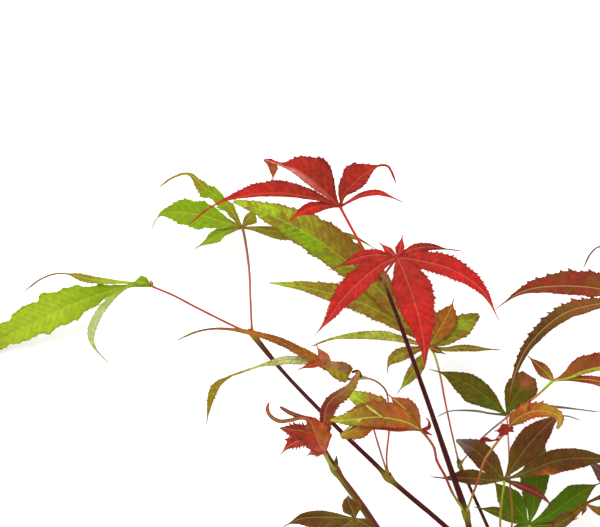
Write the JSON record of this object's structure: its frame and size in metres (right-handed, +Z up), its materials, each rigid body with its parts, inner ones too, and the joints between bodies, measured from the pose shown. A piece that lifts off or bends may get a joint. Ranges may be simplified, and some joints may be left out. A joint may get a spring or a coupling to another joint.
{
  "type": "japanese maple branch",
  "caption": "Cut branch of a Japanese maple with slender forking shoots and red, green and brown palmate leaves, lying on a surface.",
  "frame": {"origin": "centre of the bounding box at its base, on the surface that the branch lies on", "axes": "+X across the branch, from its leftmost leaf to its rightmost one, +Y from the cut end towards the shoot tips, +Z up"},
  "size_m": [0.3306, 0.2384, 0.097],
  "materials": {
    "bark_brown": "smooth young bark, olive brown",
    "bark_maroon": "smooth young bark, dark maroon with olive nodes",
    "leaf_red": "thin matt leaf, bright to dark red",
    "leaf_green": "thin matt leaf, yellow green to deep green",
    "leaf_mottled": "thin matt leaf, olive green mottled with brown",
    "leaf_orange": "thin crumpled leaf, orange with yellow green veins",
    "leaf_brown": "thin matt leaf, dark reddish brown with pale veins"
  },
  "bodies": {
    "root": {"main_limb": "bark_brown", "shoot_tall": "bark_maroon", "shoot_left": "bark_maroon", "shoot_curled": "bark_brown", "shoot_dark": "bark_maroon", "shoot_right": "bark_maroon", "leaf_red_top": "leaf_red", "leaf_red_low": "leaf_red", "leaf_green_top": "leaf_green", "leaf_green_left": "leaf_green", "leaf_mottled_long": "leaf_mottled", "leaf_orange_right": "leaf_orange", "leaf_dark_high": "leaf_brown", "leaf_dark_star": "leaf_brown", "leaf_green_low": "leaf_green", "leaf_olive_low": "leaf_mottled", "leaf_brown_inner": "leaf_brown", "leaf_brown_outer": "leaf_brown", "leaf_brown_right": "leaf_brown", "leaf_brown_far": "leaf_brown", "leaf_curled_long": "leaf_mottled", "leaf_small_hidden": "leaf_mottled", "leaf_orange_middle": "leaf_orange", "leaf_crumpled": "leaf_orange", "leaf_curled_red": "leaf_red", "leaf_brown_left": "leaf_brown", "leaf_brown_below": "leaf_brown"}
  },
  "joints": []
}
